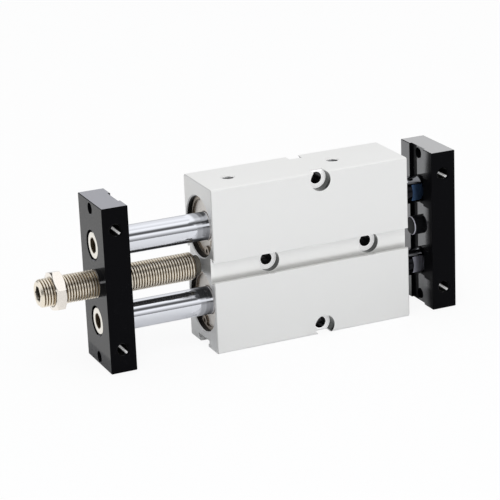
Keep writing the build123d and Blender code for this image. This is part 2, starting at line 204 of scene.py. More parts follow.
# Light
# A studio tent. Matt surfaces get even light from all round and one broad soft lamp. Bright
# metal mirrors a white tent with dark seams, and a dark gap on the left with a thin light slit.
room_level = 0.74
lamp_power = 9.5
lamp_size = 1.1
lamp_place = Vector((-0.35, -0.95, 1.4))
tent_tint = (0.965, 0.975, 1.0)
tent_left_from = -0.12
tent_left_full = -0.3
# Each pair is an angle in degrees, counted from straight ahead of the near side up over the
# top to the back, and the level of the tent there.
tent_right = ((-90, 0.3), (-2, 0.3), (3, 0.32), (9, 0.5), (15, 0.78), (24, 1.1), (33, 1.15),
              (37, 0.45), (42, 0.12), (50, 0.12), (56, 0.25), (61, 0.75), (68, 1.15), (80, 1.2),
              (88, 0.88), (96, 1.0), (110, 1.2), (128, 1.0), (150, 0.92), (160, 0.85), (178, 0.5))
tent_left = ((-90, 0.03), (14, 0.03), (17, 0.9), (22, 0.9), (25, 0.03), (55, 0.05), (75, 0.7),
             (95, 1.1), (150, 1.1), (162, 0.6), (168, 0.03), (179, 0.03))
ramp_first = -90
ramp_span = 270


def ramp_place(tree, rise, ahead):
    """Place on a ramp for the angle of a direction, from straight ahead up over the top."""
    angle = worked(tree, "ARCTAN2", rise, ahead)
    return worked(tree, "MULTIPLY_ADD", angle, 1 / math.radians(ramp_span), -ramp_first / ramp_span,
                  clamp=True)


def ramp_of(tree, place, stops):
    """Colour ramp over those angles, with the tent's tint; gives its output."""
    node = tree.nodes.new("ShaderNodeValToRGB")
    ramp = node.color_ramp
    while len(ramp.elements) < len(stops):
        ramp.elements.new(0.5)
    for element, (angle, level) in zip(ramp.elements, stops):
        element.position = (angle - ramp_first) / ramp_span
        element.color = (*(level * share for share in tent_tint), 1)
    tree.links.new(place, node.inputs["Fac"])
    return node.outputs["Color"]


def mixed(tree, factor, a, b):
    """Mix of two colours, each a socket or plain numbers; gives its output."""
    node = tree.nodes.new("ShaderNodeMix")
    node.data_type = "RGBA"
    tree.links.new(factor, node.inputs["Factor"])
    for name, value in (("A", a), ("B", b)):
        if isinstance(value, tuple):
            node.inputs[name].default_value = (*value, 1)
        else:
            tree.links.new(value, node.inputs[name])
    return node.outputs["Result"]


def room_light():
    """White for the camera, an even level for matt surfaces, and for bright ones the tent."""
    world = bpy.data.worlds.new("white_tent")
    bpy.context.scene.world = world
    world.use_nodes = True
    tree = world.node_tree
    tree.nodes.clear()
    output = tree.nodes.new("ShaderNodeOutputWorld")
    background = tree.nodes.new("ShaderNodeBackground")
    path = tree.nodes.new("ShaderNodeLightPath")
    place = tree.nodes.new("ShaderNodeTexCoord")
    split = tree.nodes.new("ShaderNodeSeparateXYZ")
    tree.links.new(place.outputs["Generated"], split.inputs[0])
    where = ramp_place(tree, split.outputs["Z"], worked(tree, "MULTIPLY", split.outputs["Y"], -1.0))
    left = tree.nodes.new("ShaderNodeMapRange")
    left.interpolation_type = "SMOOTHSTEP"
    left.inputs["From Min"].default_value = tent_left_from
    left.inputs["From Max"].default_value = tent_left_full
    tree.links.new(split.outputs["X"], left.inputs["Value"])
    tent = mixed(tree, left.outputs[0], ramp_of(tree, where, tent_right), ramp_of(tree, where, tent_left))
    bright = mixed(tree, path.outputs["Is Glossy Ray"], (room_level, room_level, room_level), tent)
    seen = mixed(tree, path.outputs["Is Camera Ray"], bright, (1.0, 1.0, 1.0))
    tree.links.new(seen, background.inputs["Color"])
    tree.links.new(background.outputs[0], output.inputs["Surface"])


room_light()
lamp_data = bpy.data.lights.new("soft_lamp", "AREA")
lamp_data.energy = lamp_power
lamp_data.size = lamp_size
lamp = bpy.data.objects.new("soft_lamp", lamp_data)
lamp.location = lamp_place
lamp.rotation_euler = (-lamp_place).to_track_quat("-Z", "Y").to_euler()
lamp.visible_glossy = False
bpy.context.scene.collection.objects.link(lamp)

# Barrel
# A drawn aluminium profile, cut to length, bored and drilled, blasted to an even matt and
# clear anodised. The sawn and faced ends are a little brighter than the drawn sides. Painted
# shade darkens the sides towards the bottom, the drilled holes, their recesses, the bored seats
# and the sensor slots towards their lower lip; painted light brightens the slot floors and
# makes the ledges of the recesses glow.
# Upper and lower colour of one finish: the bottom is painted darker as shade
barrel_upper = (0.87, 0.87, 0.858)
barrel_lower = (0.76, 0.76, 0.748)
barrel_end = (0.42, 0.42, 0.42)
barrel_broken_edge = 0.12 * MM
# From here on, the places and sizes that masks use are in millimetres. Each reaches a little
# past the cut that it stands for.
rod_height = 13.75
along_x = (1, 0, 0)
along_y = (0, 1, 0)
barrel_middle = -3.75
barrel_painted_shade_rise = (-34, 34)
barrel_rim = (37.68, 37.74)
barrel_rim_colour = (0.05, 0.05, 0.05)
barrel_faced = (37.5, 37.6)
mount_row = (19.5, 0, 0)
mount_column = (0, 0, 27)
mount_hole = 2.4
mount_hole_shade_colour = (0.012, 0.012, 0.013)
mount_recess = 4.0
mount_recess_top = 29.8
mount_recess_shade_colour = (0.085, 0.09, 0.087)
# The spot-faced ledges of the recesses are painted white and glow, as painted light
ledge_middle = 3.1
ledge_half = 0.93
ledge_side = 8.6
ledge_painted_light_colour = (1.0, 1.0, 0.995)
ledge_painted_glow = (0.3, 0.3, 0.3)
seat_radius = 11.7
seat_shade_colour = (0.02, 0.018, 0.016)
slot_inner = (9.0, 9.1)
slot_outer = (12.0, 11.9)
slot_half = 4.72
slot_painted_light_colour = (0.95, 0.95, 0.935)
slot_painted_shade_low = (-1.7, -3.4)
slot_painted_shade_colour = (0.25, 0.25, 0.24)


def effect_group(name, sockets):
    """Node group that is empty but for its sockets: a name, a way, a kind and a first value."""
    group = bpy.data.node_groups.new(name, "ShaderNodeTree")
    for label, way, kind, value in sockets:
        socket = group.interface.new_socket(name=label, in_out=way, socket_type=kind)
        if value is not None:
            socket.default_value = value
    return group


def surface_group():
    """Effect shared by all finishes: a fine grain and slow clouds, both in object space.

    Grain is a small noise, Clouds a large one; Normal is the surface bent by the grain.
    """
    group = effect_group("surface_grain", (
        ("Scale", "INPUT", "NodeSocketFloat", 900.0),
        ("Stretch", "INPUT", "NodeSocketVector", (1, 1, 1)),
        ("Bump", "INPUT", "NodeSocketFloat", 0.1),
        ("Clouds", "OUTPUT", "NodeSocketFloat", None),
        ("Grain", "OUTPUT", "NodeSocketFloat", None),
        ("Normal", "OUTPUT", "NodeSocketVector", None)))
    start = group.nodes.new("NodeGroupInput")
    end = group.nodes.new("NodeGroupOutput")
    place = group.nodes.new("ShaderNodeTexCoord")
    stretch = group.nodes.new("ShaderNodeVectorMath")
    stretch.operation = "MULTIPLY"
    fine = group.nodes.new("ShaderNodeTexNoise")
    fine.inputs["Detail"].default_value = 3.0
    slow = group.nodes.new("ShaderNodeTexNoise")
    slow.inputs["Scale"].default_value = 45.0
    slow.inputs["Detail"].default_value = 2.0
    bump = group.nodes.new("ShaderNodeBump")
    bump.inputs["Distance"].default_value = 0.02 * MM
    group.links.new(place.outputs["Object"], stretch.inputs[0])
    group.links.new(start.outputs["Stretch"], stretch.inputs[1])
    group.links.new(stretch.outputs[0], fine.inputs["Vector"])
    group.links.new(start.outputs["Scale"], fine.inputs["Scale"])
    group.links.new(place.outputs["Object"], slow.inputs["Vector"])
    group.links.new(fine.outputs["Fac"], bump.inputs["Height"])
    group.links.new(start.outputs["Bump"], bump.inputs["Strength"])
    group.links.new(fine.outputs["Fac"], end.inputs["Grain"])
    group.links.new(slow.outputs["Fac"], end.inputs["Clouds"])
    group.links.new(bump.outputs[0], end.inputs["Normal"])
    return group


surface_grain = surface_group()


def spread(tree, source, low, high):
    """Map Range that turns a 0 to 1 mask into the range low to high; gives its output."""
    node = tree.nodes.new("ShaderNodeMapRange")
    node.inputs["To Min"].default_value = low
    node.inputs["To Max"].default_value = high
    tree.links.new(source, node.inputs["Value"])
    return node.outputs[0]


def normal_of(tree):
    """The surface's direction in object space, split into its x, y and z outputs."""
    place = tree.nodes.new("ShaderNodeTexCoord")
    split = tree.nodes.new("ShaderNodeSeparateXYZ")
    tree.links.new(place.outputs["Normal"], split.inputs[0])
    return split.outputs


def facing(tree, axis):
    """Mask that is 1 where the surface looks along an axis of the object, either way.

    It fades to 0 as the surface turns away; its two limits are cosines of that turn.
    """
    limit = tree.nodes.new("ShaderNodeMapRange")
    limit.inputs["From Min"].default_value = 0.55
    limit.inputs["From Max"].default_value = 0.95
    tree.links.new(worked(tree, "ABSOLUTE", normal_of(tree)[axis]), limit.inputs["Value"])
    return limit.outputs[0]


def flat_on(tree, axis):
    """1 where the surface is square to an axis of the object, else 0."""
    return worked(tree, "GREATER_THAN", worked(tree, "ABSOLUTE", normal_of(tree)[axis]), 0.98)


def axis_group():
    """Effect shared by drilled, bored and turned faces: how far a point is from an axis.

    The point is first folded into the quarter where x, y and z are positive, so that one
    axis serves all its mirror images. Distance is taken square to the axis; Wall is 1 where
    the surface runs along it.
    """
    group = effect_group("around_axis", (
        ("Place", "INPUT", "NodeSocketVector", (0, 0, 0)),
        ("Along", "INPUT", "NodeSocketVector", (0, 1, 0)),
        ("Distance", "OUTPUT", "NodeSocketFloat", None),
        ("Wall", "OUTPUT", "NodeSocketFloat", None)))
    start = group.nodes.new("NodeGroupInput")
    end = group.nodes.new("NodeGroupOutput")
    place = group.nodes.new("ShaderNodeTexCoord")

    def vector(operation, *values):
        """Vector Math node on sockets; gives the output that the operation fills."""
        node = group.nodes.new("ShaderNodeVectorMath")
        node.operation = operation
        for socket, value in zip(node.inputs, values):
            group.links.new(value, socket)
        return node.outputs["Value" if operation in ("LENGTH", "DOT_PRODUCT") else "Vector"]

    folded = vector("ABSOLUTE", place.outputs["Object"])
    away = vector("SUBTRACT", folded, start.outputs["Place"])
    square = vector("SUBTRACT", away, vector("MULTIPLY", away, start.outputs["Along"]))
    slant = vector("DOT_PRODUCT", place.outputs["Normal"], start.outputs["Along"])
    wall = worked(group, "LESS_THAN", worked(group, "ABSOLUTE", slant), 0.5)
    group.links.new(vector("LENGTH", square), end.inputs["Distance"])
    group.links.new(wall, end.inputs["Wall"])
    return group


around_axis = axis_group()


def round_axis(tree, place, along):
    """Distance and wall mask about an axis and its mirror images; place is in millimetres."""
    node = tree.nodes.new("ShaderNodeGroup")
    node.node_tree = around_axis
    node.inputs["Place"].default_value = [value * MM for value in place]
    node.inputs["Along"].default_value = along
    return node.outputs["Distance"], node.outputs["Wall"]


def stepped(tree, value, low, high):
    """Smooth step of a value from 0 at low to 1 at high, both in millimetres."""
    node = tree.nodes.new("ShaderNodeMapRange")
    node.interpolation_type = "SMOOTHSTEP"
    node.inputs["From Min"].default_value = low * MM
    node.inputs["From Max"].default_value = high * MM
    tree.links.new(value, node.inputs["Value"])
    return node.outputs[0]


def finish(name, colour, deep_colour, roughness, metallic, scale, stretch=(1, 1, 1), bump=0.1,
           specular=0.5):
    """Metal, rubber or plastic with the shared grain; gives the material, tree and shader.

    The colour drifts to deep_colour with the clouds, and roughness runs between its two
    values with the grain.
    """
    material = bpy.data.materials.new(name)
    tree, output = nodes_of(material)
    shader = tree.nodes.new("ShaderNodeBsdfPrincipled")
    grain = tree.nodes.new("ShaderNodeGroup")
    grain.node_tree = surface_grain
    grain.inputs["Scale"].default_value = scale
    grain.inputs["Stretch"].default_value = stretch
    grain.inputs["Bump"].default_value = bump
    tree.links.new(mixed(tree, grain.outputs["Clouds"], deep_colour, colour),
                   shader.inputs["Base Color"])
    tree.links.new(spread(tree, grain.outputs["Grain"], *roughness), shader.inputs["Roughness"])
    tree.links.new(grain.outputs["Normal"], shader.inputs["Normal"])
    shader.inputs["Metallic"].default_value = metallic
    shader.inputs["Specular IOR Level"].default_value = specular
    tree.links.new(shader.outputs[0], output.inputs["Surface"])
    return material, tree, shader


def recoloured(tree, shader, factor, colour):
    """Where the factor is 1, the base colour gives way to another colour."""
    before = shader.inputs["Base Color"].links[0].from_socket
    tree.links.new(mixed(tree, factor, before, colour), shader.inputs["Base Color"])


def changed(tree, shader, name, factor, value):
    """Where the factor is 1, a shader value gives way to another value."""
    socket = shader.inputs[name]
    node = tree.nodes.new("ShaderNodeMix")
    if socket.links:
        tree.links.new(socket.links[0].from_socket, node.inputs["A"])
    else:
        node.inputs["A"].default_value = socket.default_value
    node.inputs["B"].default_value = value
    tree.links.new(factor, node.inputs["Factor"])
    tree.links.new(node.outputs["Result"], socket)


def glowing(tree, shader, factor, light):
    """Where the factor is 1, the surface gives off a light of its own."""
    socket = shader.inputs["Emission Color"]
    before = socket.links[0].from_socket if socket.links else (0.0, 0.0, 0.0)
    tree.links.new(mixed(tree, factor, before, light), socket)
    shader.inputs["Emission Strength"].default_value = 1.0


def dressed(node, material, edge):
    """Copy of a CAD node for looks: merged, smooth round its curves, edges slightly broken."""
    sharp = math.radians(30)
    source = frame["nodes"][node]
    mesh = source.data.copy()
    mesh.name = node + "_skin"
    mesh.materials.clear()
    mesh.materials.append(material)
    if "custom_normal" in mesh.attributes:
        mesh.attributes.remove(mesh.attributes["custom_normal"])
    shape = bmesh.new()
    shape.from_mesh(mesh)
    bmesh.ops.remove_doubles(shape, verts=shape.verts, dist=1e-6)
    bmesh.ops.dissolve_limit(shape, angle_limit=math.radians(0.5), verts=shape.verts,
                             edges=shape.edges)
    for face in shape.faces:
        face.smooth = True
        face.material_index = 0
    shape.to_mesh(mesh)
    shape.free()
    mesh.set_sharp_from_angle(angle=sharp)
    piece = bpy.data.objects.new(node + "_skin", mesh)
    bpy.context.scene.collection.objects.link(piece)
    if edge > 0:
        bevel = piece.modifiers.new("broken_edge", "BEVEL")
        bevel.width = edge
        bevel.segments = 2
        bevel.limit_method = "ANGLE"
        bevel.angle_limit = sharp
        bevel.harden_normals = True
    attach(piece, source["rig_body"])
    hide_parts(node)
    return piece


# Painted reflection. Each pair is an angle in degrees round a rod, counted from the near side
# upwards, and the level that the rod mirrors there, first close to it and then further out;
# pieces that the rods mirror give off that level as painted light. The lower rod sees the
# dark underside of the rest.
mirrored_upper = ((-90, 0.01), (-60, 0.08), (-30, 0.2), (4, 0.25), (9, 0.05), (14, 0.04),
                  (17, 0.85), (26, 0.85), (30, 0.03), (46, 0.03), (54, 0.5), (74, 0.4),
                  (86, 0.03), (179, 0.03))
mirrored_lower = ((-90, 0.01), (-60, 0.08), (-30, 0.2), (4, 0.25), (9, 0.05), (14, 0.04),
                  (17, 0.85), (26, 0.85), (30, 0.03), (50, 0.02), (179, 0.02))
mirrored_upper_far = ((-90, 0.03), (-72, 0.05), (-58, 0.62), (-6, 0.66), (3, 0.42), (9, 0.5),
                      (15, 0.78), (24, 1.1), (33, 1.15), (37, 0.45), (42, 0.12), (50, 0.12),
                      (56, 0.25), (61, 0.75), (68, 1.1), (179, 0.95))
mirrored_lower_far = ((-90, 0.62), (-6, 0.66), (3, 0.42), (9, 0.5), (15, 0.78), (24, 1.1),
                      (33, 1.15), (38, 0.3), (43, 0.04), (110, 0.03), (150, 0.5), (179, 0.6))
mirrored_near = 8.0
mirrored_far = 14.0
mirror_clearance = 1.5


def round_rod(tree, height):
    """Place on a ramp for the angle round an axis along X, and the distance from that axis.

    The axis lies at the height above the middle for points above it, and below for the rest.
    """
    y, z = object_place(tree)[1:]
    rise = worked(tree, "SUBTRACT", z, times(tree, worked(tree, "SIGN", z), height * MM))
    place = ramp_place(tree, rise, worked(tree, "MULTIPLY", y, -1.0))
    squares = worked(tree, "ADD", times(tree, rise, rise), times(tree, y, y))
    return place, worked(tree, "SQRT", squares)


def mirror_group():
    """Effect shared by all that is seen in the rods: the level of painted reflection that they mirror
    there.

    Close to a rod it follows one pair of ramps, and further out it fades to the other pair,
    which is much like the tent and the floor behind.
    """
    group = effect_group("mirrored_in_rods", (("Level", "OUTPUT", "NodeSocketColor", None),))
    end = group.nodes.new("NodeGroupOutput")
    place, distance = round_rod(group, rod_height)
    low = worked(group, "LESS_THAN", object_place(group)[2], 0.0)
    close = mixed(group, low, ramp_of(group, place, mirrored_upper),
                  ramp_of(group, place, mirrored_lower))
    far = mixed(group, low, ramp_of(group, place, mirrored_upper_far),
                ramp_of(group, place, mirrored_lower_far))
    level = mixed(group, stepped(group, distance, mirrored_far, mirrored_near), far, close)
    group.links.new(level, end.inputs["Level"])
    return group


mirrored_in_rods = mirror_group()


def seen_in_rods(tree):
    """The level that the rods mirror at this point."""
    node = tree.nodes.new("ShaderNodeGroup")
    node.node_tree = mirrored_in_rods
    return node.outputs["Level"]


def painted_reflection(tree, shader, level, where=None):
    """Painted reflection: how a piece looks in the chrome and the black finish beside it.

    Only rays that come from a mirror further away than the clearance see it, black and glowing
    with that level of light; the piece's own threads mirror each other as they are.
    """
    path = tree.nodes.new("ShaderNodeLightPath")
    seen = times(tree, path.outputs["Is Glossy Ray"],
                 worked(tree, "GREATER_THAN", path.outputs["Ray Length"], mirror_clearance * MM))
    if where is not None:
        seen = times(tree, seen, where)
    recoloured(tree, shader, seen, (0.0, 0.0, 0.0))
    glowing(tree, shader, seen, level)
    changed(tree, shader, "Metallic", seen, 0.0)


def barrel_material():
    """Clear anodised aluminium: matt drawn sides, faced ends that mirror softly, holes painted dark as
    shade.
    """
    material, tree, shader = finish("clear_anodising", barrel_upper, barrel_lower, (0.36, 0.5),
                                    metallic=0.2, scale=2600, stretch=(0.12, 1, 1), bump=0.25,
                                    specular=0.3)
    x, y, z = object_place(tree)
    side = worked(tree, "ABSOLUTE", y)
    from_middle = worked(tree, "ABSOLUTE", worked(tree, "SUBTRACT", x, barrel_middle * MM))

    # Painted shade: the colour runs from the lower colour at the bottom to the upper colour at the top, in
    # place of the clouds
    clouds = shader.inputs["Base Color"].links[0].from_node
    height = worked(tree, "MULTIPLY_ADD", stepped(tree, z, *barrel_painted_shade_rise), 0.8, 0.1)
    tree.links.new(height, clouds.inputs["Factor"])
    changed(tree, shader, "Metallic", facing(tree, "X"), 0.75)
    recoloured(tree, shader, times(tree, facing(tree, "X"), 0.25), barrel_end)

    # Mounting holes and the walls of their recesses, painted dark as shade, with the spot-faced ledges of
    # the recesses painted white and glowing as painted light
    body = worked(tree, "LESS_THAN", worked(tree, "ABSOLUTE", z), mount_recess_top * MM)
    glowing_ledges = []
    for place in (mount_row, mount_column):
        distance, wall = round_axis(tree, place, along_y)
        hole = times(tree, wall, worked(tree, "LESS_THAN", distance, mount_hole * MM))
        ledge = times(tree, flat_on(tree, "Y"), body,
                      within(tree, distance, ledge_middle * MM, ledge_half * MM),
                      worked(tree, "LESS_THAN", side, ledge_side * MM))
        recoloured(tree, shader, ledge, ledge_painted_light_colour)
        changed(tree, shader, "Metallic", ledge, 0.0)
        glowing_ledges.append(ledge)
        recess = times(tree, wall, body, worked(tree, "LESS_THAN", distance, mount_recess * MM))
        recoloured(tree, shader, recess, mount_recess_shade_colour)
        changed(tree, shader, "Metallic", recess, 0.9)
        changed(tree, shader, "Roughness", recess, 0.22)
        recoloured(tree, shader, hole, mount_hole_shade_colour)

    # Bored seats painted dark as shade, the dark line of the rims, and the sensor slots in the channels
    # with painted light and shade on their floors
    bore, bore_wall = round_axis(tree, (0, 0, rod_height), along_x)
    seat = times(tree, bore_wall, worked(tree, "LESS_THAN", bore, seat_radius * MM))
    recoloured(tree, shader, seat, seat_shade_colour)
    changed(tree, shader, "Metallic", seat, 0.6)
    rim = times(tree, stepped(tree, from_middle, *barrel_rim), opposite(tree, facing(tree, "X")))
    recoloured(tree, shader, times(tree, rim, 0.45), barrel_rim_colour)
    inside = times(tree, stepped(tree, side, *slot_inner), stepped(tree, side, *slot_outer),
                   within(tree, z, 0.0, slot_half * MM))
    # Painted light: the slot floors are lighter
    recoloured(tree, shader, inside, slot_painted_light_colour)
    # Painted shade: the slot floors darken towards the lower lip
    low = times(tree, inside, stepped(tree, z, *slot_painted_shade_low))
    recoloured(tree, shader, times(tree, low, 0.4), slot_painted_shade_colour)

    faced = stepped(tree, from_middle, *barrel_faced)
    # Painted reflection: as seen in the rods, the faced ends and the seats glow with the mirrored level
    painted_reflection(tree, shader, seen_in_rods(tree), worked(tree, "MAXIMUM", faced, seat))
    # Painted light: the ledges glow
    glowing(tree, shader, worked(tree, "MAXIMUM", *glowing_ledges), ledge_painted_glow)
    return material


clear_anodising = barrel_material()
dressed("barrel", clear_anodising, barrel_broken_edge)

# Port threads
# The two air ports are tapped after anodising, so their threads are bare bright metal. They
# are drawn as a lining in the drilled holes.
tap_pitch = 0.8 * MM
tap_crest = 1.94 * MM
tap_root = 2.08 * MM
tap_shell = 0.012 * MM
tap_end_gap = 0.1 * MM
tap_rows = 8
tap_sides = 48
# Painted highlight: in the side holes a narrow strip of the thread towards this side of the axis is white
# and glows
tap_glint_side = np.array([0.719, 0.0, -0.695])
tap_light_from = 0.97
tap_light_fade = 0.015


def new_piece(name, mesh, material, body, sharp, merge=0.0):
    """Object of a new mesh that rides on a body, smooth but for edges over the sharp angle."""
    shape = bmesh.new()
    shape.from_mesh(mesh)
    if merge > 0:
        bmesh.ops.remove_doubles(shape, verts=shape.verts, dist=merge)
    bmesh.ops.recalc_face_normals(shape, faces=shape.faces)
    for face in shape.faces:
        face.smooth = True
    shape.to_mesh(mesh)
    shape.free()
    mesh.set_sharp_from_angle(angle=math.radians(sharp))
    mesh.materials.append(material)
    piece = bpy.data.objects.new(name, mesh)
    bpy.context.scene.collection.objects.link(piece)
    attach(piece, body)
    return piece


def tapped_lining(name, holes, material, body):
    """Closed tube with a thread on its inside, one for each hole, in one mesh.

    Along the hole's axis the inner radius is a squared wave from the root in to a narrow
    crest, one wave for each pitch, and moves back along the axis as the angle round it grows,
    so the thread is left-handed; the outer radius is plain. Groove is 0 on the crest and 1 at
    the root; the painted glint is 1 on the narrow strip of the wall that lies towards the glint
    side from the axis, and 0 elsewhere: it marks a painted highlight.
    """
    points, faces, depths, lights = [], [], [], []
    angle = np.arange(tap_sides) * 2 * np.pi / tap_sides
    for hole in holes:
        middle, axis = np.array(hole["pos_m"]), np.array(hole["axis"], float)
        length = hole["dims"]["length_mm"] * MM - tap_end_gap
        rows = int(length / tap_pitch * tap_rows)
        along = np.linspace(-length / 2, length / 2, rows)[:, None]
        wave = 0.5 + 0.5 * np.cos(2 * np.pi * along / tap_pitch + angle[None, :])
        inner = tap_root - (tap_root - tap_crest) * wave ** 2
        radius = np.concatenate([inner, np.full((2, tap_sides), tap_root + tap_shell)])
        place = np.concatenate([along + 0 * angle, np.array([[length / 2], [-length / 2]]) + 0 * angle])
        # Any direction but the axis gives the first of the two that are square to it
        first = np.cross(axis, (0.31, 0.77, 0.56))
        first /= np.linalg.norm(first)
        second = np.cross(axis, first)
        ring = np.cos(angle)[None, :, None] * first + np.sin(angle)[None, :, None] * second
        tube = middle + place[..., None] * axis + radius[..., None] * ring
        count = len(radius)
        row, side = np.arange(count)[:, None], np.arange(tap_sides)[None, :]
        after, beside = (row + 1) % count, (side + 1) % tap_sides
        start = sum(len(part) for part in points)
        quads = np.stack([row * tap_sides + side, after * tap_sides + side,
                          after * tap_sides + beside, row * tap_sides + beside], -1)
        light = np.clip((ring @ tap_glint_side - tap_light_from) / tap_light_fade, 0, 1)
        depths.append(((radius - tap_crest) / (tap_root - tap_crest)).ravel())
        lights.append(light.repeat(count, 0).ravel())
        points.append(tube.reshape(-1, 3))
        faces.append(quads.reshape(-1, 4) + start)
    mesh = bpy.data.meshes.new(name)
    mesh.from_pydata(np.concatenate(points).tolist(), [], np.concatenate(faces).tolist())
    groove = mesh.attributes.new("groove", "FLOAT", "POINT")
    groove.data.foreach_set("value", np.clip(np.concatenate(depths), 0, 1))
    painted_glint = mesh.attributes.new("painted_glint", "FLOAT", "POINT")
    painted_glint.data.foreach_set("value", np.concatenate(lights))
    return new_piece(name, mesh, material, body, sharp=50)


def mounts_named(start):
    """The record's mounts whose names start so, each with its place, axis and sizes."""
    return [mount for mount in frame["record"]["mounts"] if mount["name"].startswith(start)]


def own_value(tree, name):
    """Value of a piece's own attribute."""
    node = tree.nodes.new("ShaderNodeAttribute")
    node.attribute_name = name
    return node.outputs["Fac"]


tapped_metal, tree, shader = finish("tapped_metal", (1.0, 1.0, 1.0), (0.9, 0.9, 0.9), (0.2, 0.3),
                                    metallic=1.0, scale=2000)
# Painted shade: the thread is dark towards its roots
recoloured(tree, shader, worked(tree, "POWER", own_value(tree, "groove"), 5.0), (0.04, 0.04, 0.04))
tapped_lining("port_threads", mounts_named("port_"), tapped_metal, "barrel")

# Rod covers
# Turned aluminium with a warm silver finish. Each closes one end of a bore, guides the rod
# and is held in its seat by a retaining ring.
cover_broken_edge = 0.08 * MM
warm_silver, tree, shader = finish("warm_silver", (0.88, 0.84, 0.79), (0.78, 0.74, 0.69), (0.3, 0.45),
                                   metallic=0.25, scale=1500, bump=0.15)
# Painted reflection: as seen in the rods, the covers glow with the mirrored level
painted_reflection(tree, shader, seen_in_rods(tree))
for end in ("front", "rear"):
    for level in ("upper", "lower"):
        dressed(f"{end}_cover_{level}", warm_silver, cover_broken_edge)

# Bushes, seals and sealing rings in the covers
# Sintered bronze bushes, pressed in, and seals of black rubber, snapped in. Only their edges
# show, as thin rings round the rods.
bronze, tree, shader = finish("sintered_bronze", (0.46, 0.31, 0.17), (0.36, 0.24, 0.13), (0.35, 0.5),
                              metallic=0.9, scale=1800)
# Painted reflection: as seen in the rods, the bushes and the black rubber glow with the mirrored level
painted_reflection(tree, shader, seen_in_rods(tree))
black_rubber, tree, shader = finish("black_rubber", (0.022, 0.022, 0.024), (0.016, 0.016, 0.017),
                                    (0.42, 0.6), metallic=0.0, scale=2200, bump=0.3)
painted_reflection(tree, shader, seen_in_rods(tree))
for end in ("front", "rear"):
    for level in ("upper", "lower"):
        dressed(f"{end}_bush_{level}", bronze, 0)
        dressed(f"{end}_rod_seal_{level}", black_rubber, 0)
        dressed(f"{end}_cover_seal_{level}", black_rubber, 0)

# Retaining rings
# Stamped from spring steel, hardened and oiled. Each has two eyed lugs and is snapped into a
# groove of the bore outside its cover.
retaining_broken_edge = 0.06 * MM
spring_steel, tree, shader = finish("oiled_spring_steel", (0.33, 0.28, 0.225), (0.17, 0.14, 0.11),
                                    (0.14, 0.24), metallic=0.95, scale=500)
# Painted reflection: as seen in the rods, the retaining rings glow with the mirrored level
painted_reflection(tree, shader, seen_in_rods(tree))
for end in ("front", "rear"):
    for level in ("upper", "lower"):
        dressed(f"{end}_retaining_ring_{level}", spring_steel, retaining_broken_edge)

# Rods
# Steel, ground and hard chromed; they mirror the room in long clean streaks. The wrench
# flats beside the rear plate are milled after chroming and stay duller; their colours are a
# painted reflection, dark blue on the upper rod and grey on the lower. Behind the barrel the
# rods are painted black as shade and dark reflection, but for a streak along the top.
flat_side = 4.0
flat_middle = 42.1
flat_half = 2.2
flat_reflection_colour = (0.42, 0.42, 0.48)
flat_upper_reflection_colour = (0.075, 0.14, 0.27)
behind_barrel = (34.5, 34.9)
upper_streak = (16.9, 17.3)
lower_streak = (-10.6, -10.2)
plate_groove = (44.0, 44.25)
rod_painted_dark_colour = (0.012, 0.012, 0.014)
hard_chrome, tree, shader = finish("hard_chrome", (0.80, 0.81, 0.84), (0.77, 0.78, 0.82),
                                   (0.03, 0.07), metallic=1.0, scale=3000, stretch=(0.6, 1, 1),
                                   bump=0.02)
x, y, z = object_place(tree)
flat = times(tree, within(tree, worked(tree, "ABSOLUTE", y), flat_side * MM, 0.01 * MM),
             facing(tree, "Y"), within(tree, x, flat_middle * MM, flat_half * MM))
# Painted reflection: the flats are coloured as what they mirror, grey on the lower rod and dark blue on
# the upper
recoloured(tree, shader, flat, flat_reflection_colour)
recoloured(tree, shader, times(tree, flat, worked(tree, "GREATER_THAN", z, 0.0)), flat_upper_reflection_colour)
changed(tree, shader, "Roughness", flat, 0.3)
# Behind the barrel only the top of each rod catches the light. The rest of that length and the ends in the
# plate's groove are painted black as shade and dark reflection, and there the rods show black in other
# mirrors as painted reflection
behind = stepped(tree, x, *behind_barrel)
upper = stepped(tree, z, *upper_streak)
lower = times(tree, stepped(tree, z, *lower_streak), worked(tree, "LESS_THAN", z, 0.0))
shaded = times(tree, behind, opposite(tree, worked(tree, "ADD", upper, lower)), opposite(tree, flat))
rod_painted_dark = worked(tree, "MAXIMUM", shaded, stepped(tree, x, *plate_groove))
recoloured(tree, shader, rod_painted_dark, rod_painted_dark_colour)
painted_reflection(tree, shader, (0.01, 0.01, 0.01), behind)
for level in ("upper", "lower"):
    dressed(f"rod_{level}", hard_chrome, 0)

# Pistons
# Turned aluminium pistons, clipped to the rods, with their seals, guide bands and the magnets
# that switch the position sensors. All of it is inside the barrel.
turned_aluminium = finish("turned_aluminium", (0.72, 0.72, 0.72), (0.62, 0.62, 0.63), (0.25, 0.4),
                          metallic=0.9, scale=1500)[0]
natural_plastic = finish("natural_plastic", (0.75, 0.72, 0.64), (0.7, 0.66, 0.58), (0.4, 0.55),
                         metallic=0.0, scale=1200)[0]
bonded_magnet = finish("bonded_magnet", (0.09, 0.09, 0.095), (0.06, 0.06, 0.065), (0.4, 0.6),
                       metallic=0.3, scale=1600)[0]
for level in ("upper", "lower"):
    dressed(f"piston_{level}", turned_aluminium, 0)
    dressed(f"piston_seals_{level}", black_rubber, 0)
    dressed(f"piston_rod_seal_{level}", black_rubber, 0)
    dressed(f"piston_guide_band_{level}", natural_plastic, 0)
    dressed(f"piston_magnet_{level}", bonded_magnet, 0)
    dressed(f"piston_clips_{level}", spring_steel, 0)

